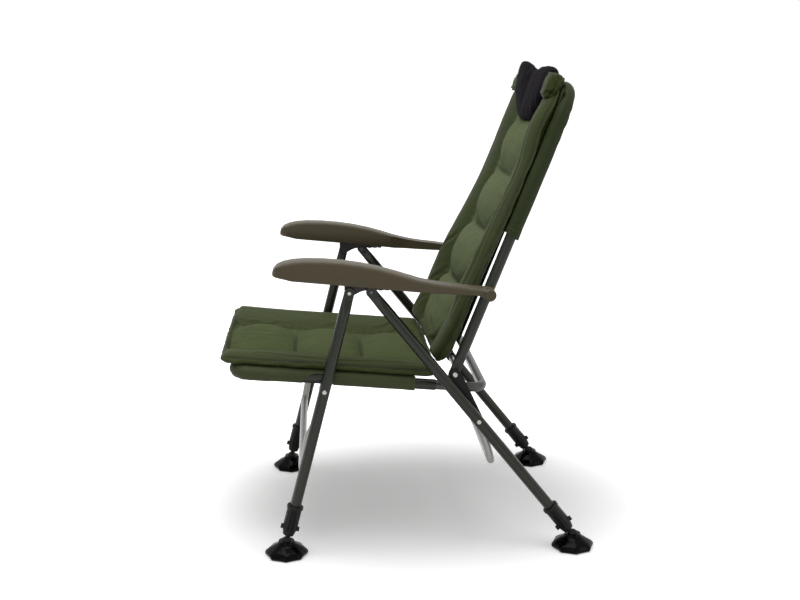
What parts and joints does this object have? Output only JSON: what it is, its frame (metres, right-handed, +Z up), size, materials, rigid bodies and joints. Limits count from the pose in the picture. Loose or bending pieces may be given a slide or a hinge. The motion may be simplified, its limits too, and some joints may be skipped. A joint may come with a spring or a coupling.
{
  "type": "folding carp fishing chair",
  "caption": "Folding outdoor chair with a padded fabric seat and back, hollow moulded armrests, a headrest and extending legs on tilting mud feet.",
  "frame": {"origin": "on the ground, in the middle of the footprint", "axes": "+Z up; the occupant faces -Y; +X is the occupant's left; X = 0 is the plane of symmetry"},
  "size_m": [0.683, 0.838, 1.0948],
  "materials": {
    "frame": "gloss",
    "bar": "satin",
    "plastic": "satin",
    "arm": "satin",
    "bracket": "satin",
    "steel": "satin",
    "sling": "matte",
    "pad": "matte",
    "pillow": "matte"
  },
  "bodies": {
    "seat": {"seat_front_tube": "frame", "seat_rear_loop": "frame", "seat_sling": "sling", "seat_pad": "pad", "front_bolt_left": "steel", "front_bolt_right": "steel"},
    "back": {"back_tube": "frame", "back_sling": "sling", "back_pad": "pad", "headrest": "pillow", "arm_bolt_left": "steel", "arm_bolt_right": "steel"},
    "rear_legs": {"rear_left_leg": "frame", "rear_right_leg": "frame", "hinge_plate_left": "plastic", "hinge_plate_right": "plastic", "main_bolt_left": "steel", "main_bolt_right": "steel", "plate_bolt_left": "steel", "plate_bolt_right": "steel", "rack_pin_left": "steel", "rack_pin_right": "steel", "tie_rod": "frame", "rear_stretcher": "bar"},
    "front_legs": {"front_left_leg": "frame", "front_right_leg": "frame", "arm_screw_left": "steel", "arm_screw_right": "steel", "front_stretcher": "bar"},
    "left_arm": {"armrest_left": "arm", "arm_bracket_left": "bracket"},
    "right_arm": {"armrest_right": "arm", "arm_bracket_right": "bracket"},
    "front_left_extension": {"front_left_inner_leg": "frame"},
    "front_left_lock": {"front_left_collar": "plastic"},
    "front_left_mud_foot": {"front_left_foot": "plastic"},
    "front_right_extension": {"front_right_inner_leg": "frame"},
    "front_right_lock": {"front_right_collar": "plastic"},
    "front_right_mud_foot": {"front_right_foot": "plastic"},
    "rear_left_extension": {"rear_left_inner_leg": "frame"},
    "rear_left_lock": {"rear_left_collar": "plastic"},
    "rear_left_mud_foot": {"rear_left_foot": "plastic"},
    "rear_right_extension": {"rear_right_inner_leg": "frame"},
    "rear_right_lock": {"rear_right_collar": "plastic"},
    "rear_right_mud_foot": {"rear_right_foot": "plastic"}
  },
  "joints": [
    {"name": "back_fold", "type": "hinge", "parent": "seat", "child": "back", "pos_m": [0, 0.09615, 0.4116], "axis": [1, 0, 0], "range_deg": [0, 84], "deforming": ["back_pad", "seat_pad"]},
    {"name": "rear_leg_fold", "type": "hinge", "parent": "seat", "child": "rear_legs", "pos_m": [0, 0.09615, 0.4116], "axis": [1, 0, 0], "range_deg": [0, 32.02]},
    {"name": "front_leg_fold", "type": "hinge", "parent": "seat", "child": "front_legs", "pos_m": [0, -0.19475, 0.3838], "axis": [1, 0, 0], "range_deg": [0, 73.18]},
    {"name": "left_arm_fold", "type": "hinge", "parent": "back", "child": "left_arm", "pos_m": [0.2925, 0.1675, 0.599], "axis": [1, 0, 0], "range_deg": [-83.68, 0]},
    {"name": "right_arm_fold", "type": "hinge", "parent": "back", "child": "right_arm", "pos_m": [-0.2925, 0.1675, 0.599], "axis": [1, 0, 0], "range_deg": [-83.68, 0]},
    {"name": "front_left_leg_slide", "type": "slide", "parent": "front_legs", "child": "front_left_extension", "axis": [0, -0.2495, -0.9684], "range_m": [0, 0.12]},
    {"name": "front_left_lock_twist", "type": "hinge", "parent": "front_legs", "child": "front_left_lock", "pos_m": [0.2925, -0.28515, 0.033], "axis": [0, -0.2495, -0.9684], "range_deg": [0, 90]},
    {"name": "front_left_foot_tilt", "type": "hinge", "parent": "front_left_extension", "child": "front_left_mud_foot", "pos_m": [0.2925, -0.28515, 0.033], "axis": [1, 0, 0], "range_deg": [-15, 15]},
    {"name": "front_right_leg_slide", "type": "slide", "parent": "front_legs", "child": "front_right_extension", "axis": [0, -0.2495, -0.9684], "range_m": [0, 0.12]},
    {"name": "front_right_lock_twist", "type": "hinge", "parent": "front_legs", "child": "front_right_lock", "pos_m": [-0.2925, -0.28515, 0.033], "axis": [0, -0.2495, -0.9684], "range_deg": [0, 90]},
    {"name": "front_right_foot_tilt", "type": "hinge", "parent": "front_right_extension", "child": "front_right_mud_foot", "pos_m": [-0.2925, -0.28515, 0.033], "axis": [1, 0, 0], "range_deg": [-15, 15]},
    {"name": "rear_left_leg_slide", "type": "slide", "parent": "rear_legs", "child": "rear_left_extension", "axis": [0, 0.6266, -0.7793], "range_m": [0, 0.12]},
    {"name": "rear_left_lock_twist", "type": "hinge", "parent": "rear_legs", "child": "rear_left_lock", "pos_m": [0.2925, 0.37001, 0.033], "axis": [0, 0.6266, -0.7793], "range_deg": [0, 90]},
    {"name": "rear_left_foot_tilt", "type": "hinge", "parent": "rear_left_extension", "child": "rear_left_mud_foot", "pos_m": [0.2925, 0.37001, 0.033], "axis": [1, 0, 0], "range_deg": [-10, 20]},
    {"name": "rear_right_leg_slide", "type": "slide", "parent": "rear_legs", "child": "rear_right_extension", "axis": [0, 0.6266, -0.7793], "range_m": [0, 0.12]},
    {"name": "rear_right_lock_twist", "type": "hinge", "parent": "rear_legs", "child": "rear_right_lock", "pos_m": [-0.2925, 0.37001, 0.033], "axis": [0, 0.6266, -0.7793], "range_deg": [0, 90]},
    {"name": "rear_right_foot_tilt", "type": "hinge", "parent": "rear_right_extension", "child": "rear_right_mud_foot", "pos_m": [-0.2925, 0.37001, 0.033], "axis": [1, 0, 0], "range_deg": [-10, 20]}
  ],
  "couplings": [
    {"joint": "rear_leg_fold", "follows": "back_fold", "ratio": 0.38},
    {"joint": "front_leg_fold", "follows": "back_fold", "ratio": 0.87},
    {"joint": "left_arm_fold", "follows": "back_fold", "ratio": -0.995},
    {"joint": "right_arm_fold", "follows": "back_fold", "ratio": -0.995}
  ]
}
